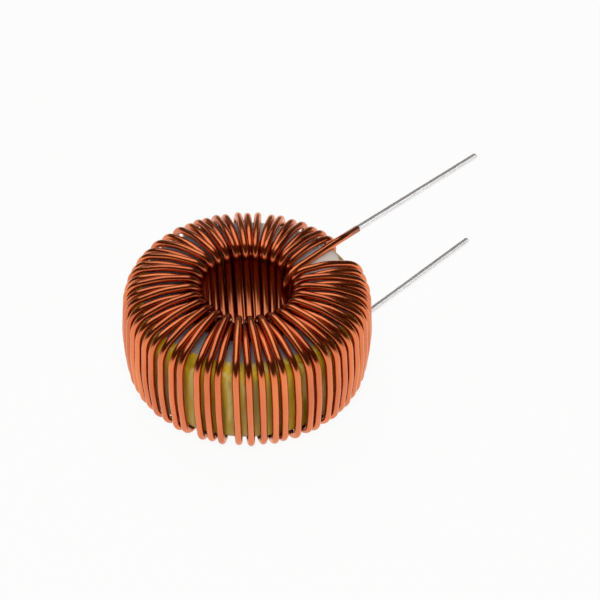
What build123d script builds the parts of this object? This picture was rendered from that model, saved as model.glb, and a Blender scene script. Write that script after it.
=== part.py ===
from build123d import *
from math import cos, radians, sin, sqrt, tan
import os

# Toroidal inductor: a coated powdered-iron ring wound by hand with one enamelled copper wire.
# The ring's axis is Z, the coil lies on its lower turns at Z = 0, and both leads leave towards +X.
# Lengths are in millimetres, angles in degrees.

# Core
core_outer_diameter = 26.9
core_inner_diameter = 14.5
core_height = 11.1
core_edge_chamfer = 1.2

# Wire: its size over the enamel, and how close the coil lies to the core
wire_diameter = 0.87
enamel_thickness = 0.035
wire_clearance = 0.04

# Coil: where it starts, and the bare part of the ring before it
first_turn_angle = -2.0
bare_angle = 24.4

# The springy wire stands off the bore and its upper rim, and bows out over the top and down the side
bore_slack = 0.5
rim_lift = 0.5
top_bow = 0.65
side_bow = 0.45

# How the coil's bends follow the core's edges, as shares of the edges' chamfer
top_bend_share = 1.6875
bottom_bend_share = 1.354
rim_bend_share = 0.6875
foot_bend_share = 1.4375

# In the crowded bore every other turn rides in the groove between its neighbours. As they lean,
# it lies off them by more than the wire's size. It stands higher than they do at the faces,
# and bends wider
riding_distance_share = 1.18
riding_height_share = 0.97
riding_bend_share = 0.43

# How far a turn creeps round the ring on its way up the bore, out over the top and down the side
bore_creep_angle = 6.5
top_creep_angle = 2.25
side_creep_angle = 1.5

# The turns that ride on others lag behind them in the bore, more at the bottom than at the top
top_lag_angle = 0.55
bottom_lag_angle = 1.15

# Leads: reach past the core's side, place across the ring, and stripped and tinned lengths
enamel_overhang = 3.55
upper_exit_lean = 2.275
upper_exit_offset = -1.55
upper_exit_bend_radius = 2.5
upper_lead_offset = -1.7
upper_toe_angle = -2.88
upper_tinned_length = 21.33
lower_lead_offset = -4.65
lower_bend_overhang = 1.35
lower_tinned_length = 19.5
lead_bend_radius = 1.8
tip_chamfer = 0.15

# Hand winding: how far each turn's outer run lies off even spacing, as shares of the turn pitch,
# counted from the turn beside the upper lead and round by the back. In the crowded bore a turn
# settles at the mean of its neighbours on either side
spacing_shares = (
    0.00, -0.05, -0.10, -0.05, -0.05, 0.05, -0.10, 0.15, 0.10, -0.05,
    0.10, -0.05, -0.10, -0.35, -0.50, -0.40, -0.15, 0.15, 0.40, 0.30,
    0.40, 0.25, 0.35, 0.20, 0.30, 0.25, 0.35, 0.40, 0.35, 0.35,
    0.25, 0.35, 0.45, 0.25, 0.70, 0.55, 0.40, 0.80, 0.80, 0.80,
    0.75, 0.50, 0.60, 0.65, 0.40, 0.45, 0.35, 0.15, 0.00, -0.05,
    -0.15, -0.20, -0.10, -0.15, 0.00, -0.10, 0.05, 0.00,
)
settling_neighbours = 8

# The wire is drawn with flat sides, and its bends with a few mitred facets
wire_sides = 7
coil_bend_facets = 2
lead_bend_facets = 3

# Worked out from the above, with heights counted from the ring's middle
wire_radius = wire_diameter / 2
wire_standoff = wire_radius + wire_clearance
core_radius = core_outer_diameter / 2
low_level = -core_height / 2 - wire_standoff
high_level = core_height / 2 + wire_standoff
side_reach = core_radius + wire_standoff
bore_reach = core_inner_diameter / 2 - wire_standoff - bore_slack
top_bend_radius = wire_standoff + top_bend_share * core_edge_chamfer
bottom_bend_radius = wire_standoff + bottom_bend_share * core_edge_chamfer
rim_bend_radius = wire_standoff + rim_bend_share * core_edge_chamfer
foot_bend_radius = wire_standoff + foot_bend_share * core_edge_chamfer
turns = len(spacing_shares)
turn_pitch = (360 - bare_angle) / (turns - 1)
riding_distance = riding_distance_share * wire_diameter
groove_width = bore_reach * sin(radians(turn_pitch))
layer_step = sqrt(max(0, riding_distance**2 - groove_width**2))
layer_rise = riding_height_share * layer_step
riding_bend_widening = riding_bend_share * layer_step

os.makedirs("parts", exist_ok=True)


# A point given by its distance from the axis, its angle round it and its height
def around(reach, angle, height):
    return Vector(reach * cos(radians(angle)), reach * sin(radians(angle)), height)


# The points that round the corner at "corner" to a bend of the given radius:
# mitres spaced evenly on the bend, each just outside it, so that the facets touch the bend
def bend(before, corner, after, radius, facets):
    arriving = (corner - before).normalized()
    leaving = (after - corner).normalized()
    turn = arriving.get_angle(leaving)
    hinge = arriving.cross(leaving).normalized()
    setback = radius * tan(radians(turn / 2))
    centre = corner - arriving * setback + hinge.cross(arriving) * radius
    spoke = corner - arriving * setback - centre
    spoke = spoke / cos(radians(turn / facets / 2))
    axis = Axis((0, 0, 0), hinge)
    return [centre + spoke.rotate(axis, turn * (facet + 0.5) / facets) for facet in range(facets)]


# The corners of one turn's climb in the bore: every other turn lies further in and stands higher
def bore_corners(turn):
    rides = turn % 2
    reach = bore_reach - layer_step * rides
    lift = layer_rise * rides
    near = spacing_shares[max(0, turn - settling_neighbours):turn + settling_neighbours + 1]
    side_angle = first_turn_angle + turn_pitch * (turn + sum(near) / len(near))
    top_angle = side_angle - side_creep_angle / 2 - top_creep_angle
    return [
        around(reach, top_angle - bore_creep_angle - bottom_lag_angle * rides, low_level - lift),
        around(reach, top_angle - top_lag_angle * rides, high_level + rim_lift + lift),
    ]


# The corners of one turn's drop down the side, with its bow in the middle
def side_corners(turn):
    angle = first_turn_angle + turn_pitch * (turn + spacing_shares[turn])
    return [
        around(side_reach, angle - side_creep_angle / 2, high_level),
        around(side_reach + side_bow, angle, 0),
        around(side_reach, angle + side_creep_angle / 2, low_level),
    ]


# The leads' own corners
upper_climb = around(bore_reach, first_turn_angle - bare_angle, low_level)
upper_exit = Vector(bore_reach - upper_exit_lean, upper_exit_offset, high_level)
upper_lead_bend = Vector(core_radius, upper_lead_offset, high_level)
upper_aim = Vector(1, 0, 0).rotate(Axis.Z, upper_toe_angle)
upper_enamel_end = upper_lead_bend + upper_aim * enamel_overhang
lower_aim = Vector(1, 0, 0)
lower_enamel_end = Vector(core_radius + enamel_overhang, lower_lead_offset, low_level)
lower_lead_bend = Vector(core_radius + lower_bend_overhang, lower_lead_offset, low_level)

# The whole wire's corners in order, each with its bend's radius and facets
top_bend = (top_bend_radius, coil_bend_facets)
bottom_bend = (bottom_bend_radius, coil_bend_facets)
bow_mitre = (0, 1)
exit_bend = (upper_exit_bend_radius, lead_bend_facets)
lead_bend = (lead_bend_radius, lead_bend_facets)
route = [(lower_enamel_end, lead_bend), (lower_lead_bend, lead_bend)]
for turn in range(turns):
    foot, rim = bore_corners(turn)
    shoulder, bulge, heel = side_corners(turn)
    crown = (rim + shoulder) / 2 + Vector(0, 0, top_bow)
    widening = riding_bend_widening * (turn % 2)
    foot_bend = (foot_bend_radius + widening, coil_bend_facets)
    rim_bend = (rim_bend_radius + widening, coil_bend_facets)
    route += [(foot, foot_bend), (rim, rim_bend), (crown, bow_mitre)]
    route += [(shoulder, top_bend), (bulge, bow_mitre), (heel, bottom_bend)]
route += [(upper_climb, (foot_bend_radius, coil_bend_facets)), (upper_exit, exit_bend)]
route += [(upper_lead_bend, lead_bend), (upper_enamel_end, lead_bend)]

wire_points = [route[0][0]]
for (before, _), (corner, shape), (after, _) in zip(route, route[1:], route[2:]):
    wire_points += bend(before, corner, after, *shape)
wire_points.append(route[-1][0])

# All of it is raised until the coil's lowest turns lie on Z = 0
rest_height = wire_radius - min(point.Z for point in wire_points)
wire_points = [point + Vector(0, 0, rest_height) for point in wire_points]

# Core: one ring with its edges broken
with BuildPart() as core:
    with BuildSketch(Plane.XY.offset(rest_height - core_height / 2)):
        Circle(core_radius)
        Circle(core_inner_diameter / 2, mode=Mode.SUBTRACT)
    extrude(amount=core_height)
    chamfer(core.edges().filter_by(GeomType.CIRCLE), core_edge_chamfer)
core.part.label = "core"
export_step(core.part, "parts/core.step")

# Winding: one wire from the end of the lower enamel to the end of the upper
with BuildPart() as winding:
    with BuildLine():
        Polyline(*wire_points)
    with BuildSketch(Plane(wire_points[0], z_dir=wire_points[1] - wire_points[0])):
        RegularPolygon(wire_radius, wire_sides)
    sweep(transition=Transition.RIGHT)
winding.part.label = "winding"
export_step(winding.part, "parts/winding.step")

# Tinned lead ends: straight round pins that carry on from the enamel, with broken tips
with BuildPart() as tinned_lead_upper:
    with BuildSketch(Plane(wire_points[-1], z_dir=upper_aim)):
        Circle(wire_radius - enamel_thickness)
    extrude(amount=upper_tinned_length)
    chamfer(tinned_lead_upper.edges().filter_by(GeomType.CIRCLE).sort_by(Axis.X)[-1], tip_chamfer)
tinned_lead_upper.part.label = "tinned_lead_upper"
export_step(tinned_lead_upper.part, "parts/tinned_lead_upper.step")

with BuildPart() as tinned_lead_lower:
    with BuildSketch(Plane(wire_points[0], z_dir=lower_aim)):
        Circle(wire_radius - enamel_thickness)
    extrude(amount=lower_tinned_length)
    chamfer(tinned_lead_lower.edges().filter_by(GeomType.CIRCLE).sort_by(Axis.X)[-1], tip_chamfer)
tinned_lead_lower.part.label = "tinned_lead_lower"
export_step(tinned_lead_lower.part, "parts/tinned_lead_lower.step")
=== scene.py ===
import math

import bpy
from mathutils import Matrix, Vector
import numpy as np


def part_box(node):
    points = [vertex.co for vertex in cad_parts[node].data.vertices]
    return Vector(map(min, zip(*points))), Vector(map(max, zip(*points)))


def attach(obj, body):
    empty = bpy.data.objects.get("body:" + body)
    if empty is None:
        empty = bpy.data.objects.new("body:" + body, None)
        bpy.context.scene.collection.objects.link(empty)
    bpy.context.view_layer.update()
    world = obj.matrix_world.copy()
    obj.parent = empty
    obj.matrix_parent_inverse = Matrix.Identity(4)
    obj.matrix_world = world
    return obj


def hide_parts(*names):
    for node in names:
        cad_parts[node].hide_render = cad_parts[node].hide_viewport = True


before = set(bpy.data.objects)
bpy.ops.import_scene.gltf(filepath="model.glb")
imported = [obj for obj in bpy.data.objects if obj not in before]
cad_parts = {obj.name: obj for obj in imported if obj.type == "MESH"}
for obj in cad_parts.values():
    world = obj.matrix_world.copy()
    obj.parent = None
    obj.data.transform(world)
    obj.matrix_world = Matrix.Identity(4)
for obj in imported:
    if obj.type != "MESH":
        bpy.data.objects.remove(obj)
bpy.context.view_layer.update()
scene = bpy.context.scene
scene.view_settings.view_transform = "Standard"
metresPerMm = 0.001
print("frame loaded")


# One output socket of a shader node, so that shader maths reads as plain expressions
class Signal:
    def __init__(self, socket):
        self.socket = socket
        self.tree = socket.id_data

    # Any node: its type, its settings, then the values or links of its sockets
    @classmethod
    def node(cls, tree, kind, settings=None, sockets=None, output=0):
        made = tree.nodes.new(kind)
        for name, value in (settings or {}).items():
            setattr(made, name, value)
        for name, value in (sockets or {}).items():
            if isinstance(value, Signal):
                tree.links.new(value.socket, made.inputs[name])
            else:
                made.inputs[name].default_value = value
        return cls(made.outputs[output]) if len(made.outputs) else None

    def maths(self, operation, first, second=0.0):
        return Signal.node(self.tree, "ShaderNodeMath", {"operation": operation}, {0: first, 1: second})

    def __add__(self, other):
        return self.maths("ADD", self, other)

    def __radd__(self, other):
        return self.maths("ADD", other, self)

    def __sub__(self, other):
        return self.maths("SUBTRACT", self, other)

    def __rsub__(self, other):
        return self.maths("SUBTRACT", other, self)

    def __mul__(self, other):
        return self.maths("MULTIPLY", self, other)

    def __rmul__(self, other):
        return self.maths("MULTIPLY", other, self)

    # 0 below low, 1 above high, eased in between
    def rise(self, low, high):
        return Signal.node(
            self.tree, "ShaderNodeMapRange", {"interpolation_type": "SMOOTHSTEP"},
            {"Value": self, "From Min": low, "From Max": high},
        )


def mixColours(mask, below, above):
    return Signal.node(mask.tree, "ShaderNodeMix", {"data_type": "RGBA"}, {0: mask, 6: below, 7: above}, 2)


def noise(place, scale, detail=2.0, roughness=0.5):
    return Signal.node(
        place.tree, "ShaderNodeTexNoise", {},
        {"Vector": place, "Scale": scale, "Detail": detail, "Roughness": roughness},
    )


def newMaterial(name):
    material = bpy.data.materials.new(name)
    material.use_nodes = True
    material.node_tree.nodes.clear()
    return material, material.node_tree


def finishMaterial(tree, sockets):
    surface = Signal.node(tree, "ShaderNodeBsdfPrincipled", {}, sockets)
    Signal.node(tree, "ShaderNodeOutputMaterial", {}, {"Surface": surface})


def vectorMaths(operation, place, other):
    return Signal.node(place.tree, "ShaderNodeVectorMath", {"operation": operation}, {0: place, 1: other})


# The named coordinates of a place, each as a value
def coordinates(place, axes):
    return [Signal.node(place.tree, "ShaderNodeSeparateXYZ", {}, {0: place}, axis) for axis in axes]


def bumpNormal(height, strength, depth):
    return Signal.node(
        height.tree, "ShaderNodeBump", {}, {"Strength": strength, "Distance": depth, "Height": height})


# Object coordinates counted in millimetres
def millimetres(tree):
    place = Signal.node(tree, "ShaderNodeTexCoord", {}, {}, "Object")
    return Signal.node(
        tree, "ShaderNodeVectorMath", {"operation": "SCALE"}, {0: place, "Scale": 1 / metresPerMm})


# Distance of a place from the upright axis through the origin
def flatReach(place):
    flat = vectorMaths("MULTIPLY", place, (1.0, 1.0, 0.0))
    return Signal.node(place.tree, "ShaderNodeVectorMath", {"operation": "LENGTH"}, {0: flat}, "Value")


# The piece's own UV map, in millimetres: round the wire and along it
def alongWire(tree, stretch):
    return vectorMaths("MULTIPLY", Signal.node(tree, "ShaderNodeUVMap", {"uv_map": "along"}), stretch)


# A grid of points in mm, rows along and columns round, made into a mesh. Columns close on themselves,
# rows close on themselves too if ring is set, and otherwise both ends get a cap.
# The UV map holds each corner's place round and along, in mm
def gridPiece(name, points, roundMm, alongMm, material, ring=False):
    rows, columns = points.shape[:2]
    spans = rows if ring else rows - 1
    row, column = np.meshgrid(np.arange(spans), np.arange(columns), indexing="ij")
    nextRow, nextColumn = (row + 1) % rows, (column + 1) % columns
    quads = np.stack([
        row * columns + column, row * columns + nextColumn,
        nextRow * columns + nextColumn, nextRow * columns + column,
    ], axis=-1).reshape(-1, 4)
    faces = quads.tolist()
    if not ring:
        firstRing = np.arange(columns)
        faces += [firstRing[::-1].tolist(), (firstRing + (rows - 1) * columns).tolist()]
    mesh = bpy.data.meshes.new(name)
    mesh.from_pydata((points.reshape(-1, 3) * metresPerMm).tolist(), [], faces)
    corners = np.zeros((len(mesh.loops), 2))
    corners[:quads.size, 0] = np.stack([
        roundMm[column], roundMm[column + 1], roundMm[column + 1], roundMm[column],
    ], axis=-1).ravel()
    corners[:quads.size, 1] = np.stack([
        alongMm[row], alongMm[row], alongMm[row + 1], alongMm[row + 1],
    ], axis=-1).ravel()
    mesh.uv_layers.new(name="along").data.foreach_set("uv", corners.ravel())
    smooth = np.ones(len(mesh.polygons), dtype=bool)
    if not ring:
        smooth[-2:] = False
    mesh.polygons.foreach_set("use_smooth", smooth)
    mesh.materials.append(material)
    mesh.update()
    piece = bpy.data.objects.new(name, mesh)
    scene.collection.objects.link(piece)
    return piece


# Circle of the given radius (one for each row, or for each row and column) carried along a path and
# kept square to it: point plus radius times (cosine of the way round times the normal plus its sine
# times the sideways axis), where the sideways axis is the direction round the ring's axis
def roundTube(path, tangent, radius, sides):
    sideways = np.stack([-path[:, 1], path[:, 0], np.zeros(len(path))], axis=1)
    sideways -= tangent * np.sum(sideways * tangent, axis=1, keepdims=True)
    sideways /= np.linalg.norm(sideways, axis=1, keepdims=True)
    normal = np.cross(sideways, tangent)
    way = np.linspace(0, 2 * np.pi, sides, endpoint=False)[None, :, None]
    spokes = np.cos(way) * normal[:, None, :] + np.sin(way) * sideways[:, None, :]
    radius = np.broadcast_to(np.asarray(radius).reshape(len(path), -1), (len(path), sides))
    return path[:, None, :] + radius[:, :, None] * spokes


def around(reach, degrees, height):
    turned = np.radians(degrees)
    return np.stack(np.broadcast_arrays(reach * np.cos(turned), reach * np.sin(turned), height), axis=-1)


# Enamelled copper: orange-red metal under a clear coat, a little darker and lighter along the wire
copperLook = {
    "deep": (0.64, 0.120, 0.021, 1.0),
    "pale": (0.87, 0.215, 0.046, 1.0),
    "edge": (0.92, 0.66, 0.46, 1.0),
    "slowStretch": (0.25, 0.06, 1.0),
    "drawnStretch": (9.0, 0.35, 1.0),
    "slowShare": 0.75,
    "toneRange": (0.32, 0.68),
    "roughness": 0.24,
    "roughnessSpread": 0.12,
    "coat": 0.8,
    "coatRoughness": 0.1,
    "coatIor": 1.6,
    "bumpStretch": (2.2, 0.7, 1.0),
    "bump": 0.12,
    "bumpDepth": 0.00002,
}


def enamelledCopper():
    material, tree = newMaterial("enamelledCopper")
    look = copperLook
    slow = noise(alongWire(tree, look["slowStretch"]), 1.0, 3.0)
    drawn = noise(alongWire(tree, look["drawnStretch"]), 1.0)
    dents = noise(alongWire(tree, look["bumpStretch"]), 1.0)
    tone = (slow * look["slowShare"] + drawn * (1 - look["slowShare"])).rise(*look["toneRange"])
    finishMaterial(tree, {
        "Base Color": mixColours(tone, look["deep"], look["pale"]),
        "Metallic": 1.0,
        "Specular Tint": look["edge"],
        "Roughness": look["roughness"] + look["roughnessSpread"] * (drawn - 0.5),
        "Coat Weight": look["coat"],
        "Coat Roughness": look["coatRoughness"],
        "Coat IOR": look["coatIor"],
        "Normal": bumpNormal(dents, look["bump"], look["bumpDepth"]),
    })
    return material


# Winding: the wire's route as the CAD has it. Straight runs between corners, each corner an arc:
# centre plus spoke times cosine plus (hinge cross spoke) times sine, over the angle turned there
windingShape = {
    "wire": 0.87,
    "clearance": 0.04,
    "firstTurn": -2.0,
    "bareAngle": 24.4,
    "boreSlack": 0.5,
    "rimLift": 0.5,
    "topBow": 0.65,
    "topBowRadius": 8.0,
    "sideBow": 0.45,
    "sideBowRadius": 20.0,
    "edgeChamfer": 1.2,
    "topBendShare": 1.6875,
    "bottomBendShare": 1.354,
    "rimBendShare": 0.6875,
    "footBendShare": 1.4375,
    "ridingDistanceShare": 1.18,
    "ridingHeightShare": 0.97,
    "ridingBendShare": 0.43,
    "boreCreep": 6.5,
    "topCreep": 2.25,
    "sideCreep": 1.5,
    "topLag": 0.55,
    "bottomLag": 1.15,
    "enamelOverhang": 3.55,
    "exitLean": 2.275,
    "exitOffset": -1.55,
    "exitBend": 2.5,
    "upperOffset": -1.7,
    "upperToe": -2.88,
    "lowerOffset": -4.65,
    "lowerBendOverhang": 1.35,
    "leadBend": 1.8,
    "settling": 8,
    "sides": 18,
    "arcRows": 8,
    "spacing": (
        0.00, -0.05, -0.10, -0.05, -0.05, 0.05, -0.10, 0.15, 0.10, -0.05,
        0.10, -0.05, -0.10, -0.35, -0.50, -0.40, -0.15, 0.15, 0.40, 0.30,
        0.40, 0.25, 0.35, 0.20, 0.30, 0.25, 0.35, 0.40, 0.35, 0.35,
        0.25, 0.35, 0.45, 0.25, 0.70, 0.55, 0.40, 0.80, 0.80, 0.80,
        0.75, 0.50, 0.60, 0.65, 0.40, 0.45, 0.35, 0.15, 0.00, -0.05,
        -0.15, -0.20, -0.10, -0.15, 0.00, -0.10, 0.05, 0.00,
    ),
}


# Radius of the core's bore in mm. The core's box gives its other sizes
boreRadius = 7.25


def coreSizes():
    low, high = (np.array(corner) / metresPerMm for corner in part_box("core"))
    return {"outer": (high[0] - low[0]) / 2, "inner": boreRadius, "bottom": low[2], "top": high[2]}


# Corners of the whole wire and the radius of the bend at each
def windingRoute(shape, core):
    standoff = shape["wire"] / 2 + shape["clearance"]
    low, high = core["bottom"] - standoff, core["top"] + standoff
    middle = (low + high) / 2
    sideReach, boreReach = core["outer"] + standoff, core["inner"] - standoff - shape["boreSlack"]
    topBend = standoff + shape["topBendShare"] * shape["edgeChamfer"]
    bottomBend = standoff + shape["bottomBendShare"] * shape["edgeChamfer"]
    rimBend = standoff + shape["rimBendShare"] * shape["edgeChamfer"]
    footBend = standoff + shape["footBendShare"] * shape["edgeChamfer"]
    spacing = np.array(shape["spacing"])
    count = len(spacing)
    pitch = (360 - shape["bareAngle"]) / (count - 1)
    riding = shape["ridingDistanceShare"] * shape["wire"]
    step = math.sqrt(riding ** 2 - (boreReach * math.sin(math.radians(pitch))) ** 2)
    rise = shape["ridingHeightShare"] * step

    turn = np.arange(count)
    rides = turn % 2
    window = np.ones(2 * shape["settling"] + 1)
    settled = np.convolve(spacing, window, "same") / np.convolve(np.ones(count), window, "same")
    sideAngle = shape["firstTurn"] + pitch * (turn + spacing)
    topAngle = shape["firstTurn"] + pitch * (turn + settled) - shape["sideCreep"] / 2 - shape["topCreep"]
    boreFoot = topAngle - shape["boreCreep"] - shape["bottomLag"] * rides
    boreTop = topAngle - shape["topLag"] * rides
    foot = around(boreReach - step * rides, boreFoot, low - rise * rides)
    rim = around(boreReach - step * rides, boreTop, high + shape["rimLift"] + rise * rides)
    shoulder = around(sideReach, sideAngle - shape["sideCreep"] / 2, high)
    crown = (rim + shoulder) / 2 + np.array([0, 0, shape["topBow"]])
    bulge = around(sideReach + shape["sideBow"], sideAngle, middle)
    heel = around(sideReach, sideAngle + shape["sideCreep"] / 2, low)
    coil = np.stack([foot, rim, crown, shoulder, bulge, heel], axis=1).reshape(-1, 3)
    coilBends = np.tile(
        [footBend, rimBend, shape["topBowRadius"], topBend, shape["sideBowRadius"], bottomBend], (count, 1))
    coilBends[:, :2] += shape["ridingBendShare"] * step * rides[:, None]

    toe = math.radians(shape["upperToe"])
    upperBend = np.array([core["outer"], shape["upperOffset"], high])
    upperEnd = upperBend + shape["enamelOverhang"] * np.array([math.cos(toe), math.sin(toe), 0])
    lowerStart = [
        [core["outer"] + shape["enamelOverhang"], shape["lowerOffset"], low],
        [core["outer"] + shape["lowerBendOverhang"], shape["lowerOffset"], low],
    ]
    climb = around(boreReach, shape["firstTurn"] - shape["bareAngle"], low)
    leave = [boreReach - shape["exitLean"], shape["exitOffset"], high]
    corners = np.vstack([lowerStart, coil, [climb, leave, upperBend, upperEnd]])
    bends = np.concatenate([
        [shape["leadBend"]] * 2, coilBends.ravel(), [footBend, shape["exitBend"]], [shape["leadBend"]] * 2,
    ])
    return corners, bends


def roundedPath(corners, bends, arcRows):
    runs = np.diff(corners, axis=0)
    runs /= np.linalg.norm(runs, axis=1, keepdims=True)
    arriving, leaving = runs[:-1], runs[1:]
    hinge = np.cross(arriving, leaving)
    bend = np.arctan2(np.linalg.norm(hinge, axis=1), np.sum(arriving * leaving, axis=1))
    hinge /= np.linalg.norm(hinge, axis=1, keepdims=True)
    radius = bends[1:-1, None]
    begin = corners[1:-1] - arriving * radius * np.tan(bend / 2)[:, None]
    centre = begin + np.cross(hinge, arriving) * radius
    spoke = begin - centre
    swept = bend[:, None, None] * np.linspace(0, 1, arcRows)[None, :, None]
    along = np.cross(hinge, spoke)
    arcs = centre[:, None] + spoke[:, None] * np.cos(swept) + along[:, None] * np.sin(swept)
    heading = along[:, None] * np.cos(swept) - spoke[:, None] * np.sin(swept)
    heading /= np.linalg.norm(heading, axis=2, keepdims=True)
    path = np.vstack([corners[:1], arcs.reshape(-1, 3), corners[-1:]])
    tangent = np.vstack([runs[:1], heading.reshape(-1, 3), runs[-1:]])
    return path, tangent


def makeWinding(material):
    shape = windingShape
    corners, bends = windingRoute(shape, coreSizes())
    path, tangent = roundedPath(corners, bends, shape["arcRows"])
    along = np.concatenate([[0], np.cumsum(np.linalg.norm(np.diff(path, axis=0), axis=1))])
    points = roundTube(path, tangent, np.full(len(path), shape["wire"] / 2), shape["sides"])
    roundMm = np.linspace(0, math.pi * shape["wire"], shape["sides"] + 1)
    piece = gridPiece("enamelledWire", points, roundMm, along, material)
    print("winding", len(points), "rows,", round(along[-1] / 1000, 3), "m of wire")
    return piece, path, tangent


copper = enamelledCopper()
winding, wirePath, wireTangent = makeWinding(copper)
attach(winding, "root")
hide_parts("winding")

# Core coat: yellow on the sides and in the bore, pale grey on the upper face. The grey is partly painted
# light: darker overall as painted shade between the turns, and lighter on the side of the bare gap (x above
# 6.5 to 10 mm) as painted light falling there
coatLook = {
    "yellow": (0.57, 0.355, 0.008, 1.0),
    "darkYellow": (0.29, 0.18, 0.003, 1.0),
    "streakYellow": (0.62, 0.47, 0.14, 1.0),
    # pale: the upper face's grey, painted dark as shade between the turns
    "pale": (0.26, 0.245, 0.245, 1.0),
    # Painted light: the upper face's grey made lighter in the bare gap, as if lit there
    "bareLitPale": (0.66, 0.60, 0.55, 1.0),
    "paleReach": 12.2,
    "paleShift": (0.45, 0.45, 0.0),
    "paleEdge": 0.12,
    "paleRagged": 1.1,
    "upperBand": (0.9, 0.6),
    "bareBand": (6.5, 10.0),
    "bareRagged": 1.5,
    "raggedScale": 0.55,
    "speckleScale": 6.0,
    "patchScale": 0.6,
    "patchShare": 0.8,
    "patchRange": (0.36, 0.6),
    "streakScale": 1.1,
    "streakRange": (0.5, 0.66),
    "streakShare": 0.8,
    "uprightStretch": (1.0, 1.0, 0.12),
    "roughness": 0.34,
    "roughnessSpread": 0.2,
    "coat": 0.1,
    "coatRoughness": 0.25,
    "bump": 0.25,
    "bumpDepth": 0.00004,
    "edgeRound": 1.6,
    "ringRows": 160,
    "arcRows": 10,
}


def coreCoat(core):
    material, tree = newMaterial("coreCoat")
    look = coatLook
    place = millimetres(tree)
    reach = flatReach(vectorMaths("SUBTRACT", place, look["paleShift"]))
    upright = vectorMaths("MULTIPLY", place, look["uprightStretch"])
    across, height = coordinates(place, "XZ")
    ragged = noise(place, look["raggedScale"], 3.0)
    speckle = noise(place, look["speckleScale"], 3.0, 0.7)
    patch = noise(upright, look["patchScale"])
    streak = noise(upright, look["streakScale"], 3.0).rise(*look["streakRange"])
    edge = (reach + look["paleRagged"] * (ragged - 0.5)).rise(
        look["paleReach"] - look["paleEdge"], look["paleReach"] + look["paleEdge"])
    upper = height.rise(*(core["top"] - drop for drop in look["upperBand"]))
    # The yellow is darker in random patches and specks, and lighter in random upright streaks
    darkPatches = (patch * look["patchShare"] + speckle * (1 - look["patchShare"])).rise(*look["patchRange"])
    patchedYellow = mixColours(darkPatches, look["darkYellow"], look["yellow"])
    yellow = mixColours(look["streakShare"] * streak, patchedYellow, look["streakYellow"])
    # Painted light and shade: the grey face is lighter towards the bare gap, for the light there, and darker
    # elsewhere, for the shade between turns
    bareLit = (across + look["bareRagged"] * (ragged - 0.5)).rise(*look["bareBand"])
    pale = mixColours(bareLit, look["pale"], look["bareLitPale"])
    finishMaterial(tree, {
        "Base Color": mixColours((1.0 - edge) * upper, yellow, pale),
        "Roughness": look["roughness"] + look["roughnessSpread"] * speckle,
        "Coat Weight": look["coat"],
        "Coat Roughness": look["coatRoughness"],
        "Normal": bumpNormal(speckle, look["bump"], look["bumpDepth"]),
    })
    return material


# Core: a rounded rectangle carried round the axis. Its outline runs from the top outwards, down,
# in along the bottom and up the bore: corner centre plus edge round times (cosine, sine)
def makeCore(material, core):
    bend = np.linspace(0, np.pi / 2, coatLook["arcRows"])
    way = np.concatenate([np.pi / 2 - bend, -bend, -np.pi / 2 - bend, -np.pi - bend])
    edge = coatLook["edgeRound"]
    reachCentre = np.repeat(
        [core["outer"] - edge, core["outer"] - edge, core["inner"] + edge, core["inner"] + edge], len(bend))
    heightCentre = np.repeat(
        [core["top"] - edge, core["bottom"] + edge, core["bottom"] + edge, core["top"] - edge], len(bend))
    reach, height = reachCentre + edge * np.cos(way), heightCentre + edge * np.sin(way)
    outline = np.concatenate([[0], np.cumsum(np.hypot(np.diff(reach), np.diff(height)))])
    outline = np.append(outline, outline[-1] + abs(height[-1] - height[0]) + abs(reach[-1] - reach[0]))
    turned = np.linspace(0, 360, coatLook["ringRows"], endpoint=False)
    points = around(reach[None, :], turned[:, None], np.broadcast_to(height, (len(turned), len(height))))
    along = np.radians(np.append(turned, 360)) * core["outer"]
    piece = gridPiece("coatedRing", points, outline, along, material, ring=True)
    print("core", len(turned), "rows")
    return piece


coreBox = coreSizes()
core = makeCore(coreCoat(coreBox), coreBox)
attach(core, "root")
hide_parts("core")

# Tinned ends: straight wire under an uneven skin of tin, with a cut tip
tinLook = {
    "bright": (0.95, 0.95, 0.955, 1.0),
    "dull": (0.85, 0.85, 0.855, 1.0),
    "metallic": 0.65,
    "streakStretch": (3.0, 0.5, 1.0),
    "streakRange": (0.35, 0.62),
    "grainStretch": (9.0, 7.0, 1.0),
    "roughness": 0.28,
    "roughnessSpread": 0.08,
    "bump": 0.04,
    "bumpDepth": 0.00003,
    "radius": 0.40,
    "upperLength": 21.33,
    "lowerLength": 19.5,
    "tip": 0.15,
    "tipRows": 6,
    "lumps": 0.008,
    "waves": (
        {"along": 1.7, "turns": 1, "phase": 1.0, "size": 1.0},
        {"along": 0.63, "turns": -2, "phase": 2.3, "size": 1.0},
        {"along": 3.1, "turns": 0, "phase": 1.1, "size": 0.6},
    ),
    "rows": 150,
    "sides": 20,
}


def tinnedCopper():
    material, tree = newMaterial("tinnedCopper")
    look = tinLook
    streak = noise(alongWire(tree, look["streakStretch"]), 1.0, 3.0)
    grain = noise(alongWire(tree, look["grainStretch"]), 1.0)
    finishMaterial(tree, {
        "Base Color": mixColours(streak.rise(*look["streakRange"]), look["dull"], look["bright"]),
        "Metallic": look["metallic"],
        "Roughness": look["roughness"] + look["roughnessSpread"] * grain,
        "Normal": bumpNormal(streak, look["bump"], look["bumpDepth"]),
    })
    return material


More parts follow.
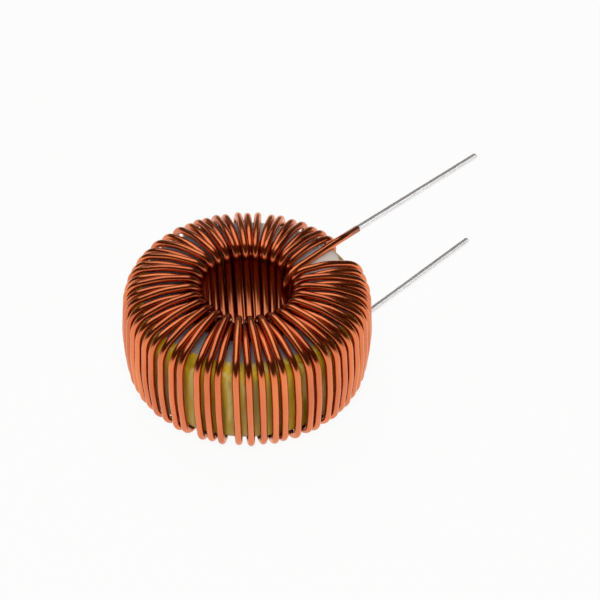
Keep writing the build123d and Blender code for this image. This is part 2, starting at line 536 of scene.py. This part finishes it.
# Tinned end: a circle carried along a straight run. Its radius has slow lumps of tin, sums of sines
# of the way along and round, and shrinks along a quarter circle at the tip
def makeTinned(name, material, start, heading, length, phase):
    tip = tinLook["tip"]
    along = np.concatenate([
        np.linspace(0, length - tip, tinLook["rows"]),
        length - tip + tip * np.sin(np.linspace(0.2, 1, tinLook["tipRows"]) * np.pi / 2),
    ])
    path = start + along[:, None] * heading
    tangent = np.broadcast_to(heading, path.shape)
    way = np.linspace(0, 2 * np.pi, tinLook["sides"], endpoint=False)
    lumps = sum(
        wave["size"] * np.sin(wave["along"] * along[:, None] + wave["phase"] * phase + wave["turns"] * way)
        for wave in tinLook["waves"])
    highest = sum(wave["size"] for wave in tinLook["waves"])
    shrink = np.clip((along - (length - tip)) / tip, 0, 1)
    radius = tinLook["radius"] + tinLook["lumps"] * (lumps / highest - 1)
    radius = radius - (tip * (1 - np.sqrt(np.clip(1 - shrink ** 2, 0, 1))))[:, None]
    points = roundTube(path, tangent, radius, tinLook["sides"])
    roundMm = np.linspace(0, 2 * math.pi * tinLook["radius"], tinLook["sides"] + 1)
    piece = gridPiece(name, points, roundMm, along, material)
    print(name, len(along), "rows")
    return piece


tin = tinnedCopper()
upperTinned = makeTinned("tinnedEndUpper", tin, wirePath[-1], wireTangent[-1], tinLook["upperLength"], 0.4)
lowerTinned = makeTinned("tinnedEndLower", tin, wirePath[0], -wireTangent[0], tinLook["lowerLength"], 2.1)
for piece, node in ((upperTinned, "tinned_lead_upper"), (lowerTinned, "tinned_lead_lower")):
    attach(piece, "root")
    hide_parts(node)

# Share of x and of y in the way from the camera to the far side of the ring
diagonal = 0.7071

# Floor: pale paper, seen white by the camera and in reflections, with part of the shadow kept.
# Under the ring the camera sees the paper's own shade, and reflections see it dark but for the patch
# lit through the hole, on its far half. Light that goes from wire to wire meets the paper's own colour
floorLook = {
    "half": 4.0,
    "colour": (0.86, 0.86, 0.86, 1.0),
    "whiteShare": 0.92,
    "shadeReach": (6.5, 10.5),
    "bounceLimit": (1.2, 1.8),
    "patchReach": (5.2, 6.2),
    "patchDepth": (-2.2, 0.2),
}


def makeFloor():
    half = floorLook["half"]
    mesh = bpy.data.meshes.new("floor")
    corners = [(-half, -half, 0), (half, -half, 0), (half, half, 0), (-half, half, 0)]
    mesh.from_pydata(corners, [], [(0, 1, 2, 3)])
    material, tree = newMaterial("floorPaper")
    camera, glossy, through, bounces = (
        Signal.node(tree, "ShaderNodeLightPath", {}, {}, ray)
        for ray in ("Is Camera Ray", "Is Glossy Ray", "Is Transmission Ray", "Glossy Depth"))
    place = millimetres(tree)
    reach = flatReach(place)
    across, away = coordinates(place, "XY")
    depth = diagonal * (across + away)
    patch = depth.rise(*floorLook["patchDepth"]) * (1.0 - reach.rise(*floorLook["patchReach"]))
    outside = reach.rise(*floorLook["shadeReach"])
    lit = 1.0 - (1.0 - patch) * (1.0 - outside)
    firstBounce = 1.0 - bounces.rise(*floorLook["bounceLimit"])
    share = floorLook["whiteShare"] * (outside * camera + glossy * firstBounce + through)
    paper = Signal.node(tree, "ShaderNodeBsdfDiffuse", {}, {"Color": floorLook["colour"]})
    glow = mixColours(lit, (0.0, 0.0, 0.0, 1.0), (1.0, 1.0, 1.0, 1.0))
    white = Signal.node(tree, "ShaderNodeEmission", {}, {"Color": glow, "Strength": 1.0})
    surface = Signal.node(tree, "ShaderNodeMixShader", {}, {0: share, 1: paper, 2: white})
    Signal.node(tree, "ShaderNodeOutputMaterial", {}, {"Surface": surface})
    mesh.materials.append(material)
    floor = bpy.data.objects.new("floor", mesh)
    scene.collection.objects.link(floor)
    return floor


floor = makeFloor()
print("floor")

# Camera and lights
shot = {
    "aim": (0.0, 0.0, (coreBox["bottom"] + coreBox["top"]) / 2 * metresPerMm),
    "azimuth": 225.0,
    "elevation": 44.2,
    "distance": 0.176,
    "lens": 89.07,
    "sensor": 36.0,
    "clip": (0.01, 30.0),
    "shift": (0.0882, 0.0434),
}
softboxes = {
    "overhead": {
        "place": (0.07, 0.19, 0.44), "size": (0.5, 0.5), "power": 0.88,
        "mirrored": True, "lit": "ring",
    },
    "side": {
        "place": (0.225, -0.260, 0.285), "size": (0.24, 0.24), "power": 0.30,
        "mirrored": True, "lit": "leads",
    },
    "ceiling": {
        "place": (-0.349, -0.349, 0.79), "size": (0.5, 0.5), "power": 5.8,
        "mirrored": False, "lit": None,
    },
}
softboxLean = 45.0
room = {
    "frontWall": (0.95, 0.95, 0.95, 1.0),
    "frontTop": 18.0,
    "frontSpread": (0.0, 0.5),
    "frontBlur": 0.05,
    "backWall": (0.12, 0.12, 0.12, 1.0),
    "backTop": 24.0,
    "backSpread": (0.3, 0.8),
    "backBlur": 0.15,
    "dark": (0.050, 0.027, 0.019, 1.0),
}


def direction(azimuth, elevation):
    across = math.cos(math.radians(elevation))
    return np.array([
        across * math.cos(math.radians(azimuth)), across * math.sin(math.radians(azimuth)),
        math.sin(math.radians(elevation)),
    ])


# Turns a camera or lamp to face a point, with its own upright as near to "upright" as it will go
def turnTo(thing, target, upright=(0.0, 0.0, 1.0)):
    outward = (thing.location - Vector(target)).normalized()
    sideways = Vector(upright).cross(outward).normalized()
    thing.rotation_euler = Matrix((sideways, outward.cross(sideways), outward)).transposed().to_euler()


def makeCamera():
    data = bpy.data.cameras.new("camera")
    data.lens = shot["lens"]
    data.sensor_width = shot["sensor"]
    data.clip_start, data.clip_end = shot["clip"]
    data.shift_x, data.shift_y = shot["shift"]
    camera = bpy.data.objects.new("camera", data)
    camera.location = np.array(shot["aim"]) + shot["distance"] * direction(shot["azimuth"], shot["elevation"])
    turnTo(camera, shot["aim"])
    scene.collection.objects.link(camera)
    scene.camera = camera


# The ring and the leads as groups, so that a softbox can serve one of them alone
def lightGroup(name, pieces):
    group = bpy.data.collections.new(name)
    for piece in pieces:
        group.objects.link(piece)
    return group


lightGroups = {
    "ring": lightGroup("ring", (winding, core, floor)),
    "leads": lightGroup("leads", (upperTinned, lowerTinned)),
}


def makeLights():
    for name, box in softboxes.items():
        data = bpy.data.lights.new(name, "AREA")
        data.shape = "RECTANGLE"
        data.size, data.size_y = box["size"]
        data.energy = box["power"]
        lamp = bpy.data.objects.new(name, data)
        lamp.location = box["place"]
        lamp.visible_glossy = box["mirrored"]
        if box["lit"]:
            lamp.light_linking.receiver_collection = lightGroups[box["lit"]]
        turnTo(lamp, shot["aim"], -direction(shot["azimuth"] - 180, -softboxLean))
        scene.collection.objects.link(lamp)


# Room: dark above, with a white wall behind the camera and a grey one opposite. Each wall fades out
# to its sides and above its top, given as an elevation
def makeRoom():
    world = bpy.data.worlds.new("room")
    world.use_nodes = True
    tree = world.node_tree
    tree.nodes.clear()
    facing = Signal.node(tree, "ShaderNodeTexCoord", {}, {}, "Generated")
    across, away, lift = coordinates(facing, "XYZ")
    facingBack = diagonal * (across + away)
    frontTop, backTop = (math.sin(math.radians(room[top])) for top in ("frontTop", "backTop"))
    frontAbove = lift.rise(frontTop - room["frontBlur"], frontTop + room["frontBlur"])
    backAbove = lift.rise(backTop - room["backBlur"], backTop + room["backBlur"])
    front = (0.0 - facingBack).rise(*room["frontSpread"]) * (1.0 - frontAbove)
    back = facingBack.rise(*room["backSpread"]) * (1.0 - backAbove)
    shade = mixColours(front, mixColours(back, room["dark"], room["backWall"]), room["frontWall"])
    light = Signal.node(tree, "ShaderNodeBackground", {}, {"Color": shade, "Strength": 1.0})
    Signal.node(tree, "ShaderNodeOutputWorld", {}, {"Surface": light})
    scene.world = world


makeCamera()
makeLights()
makeRoom()
print("camera and lights")
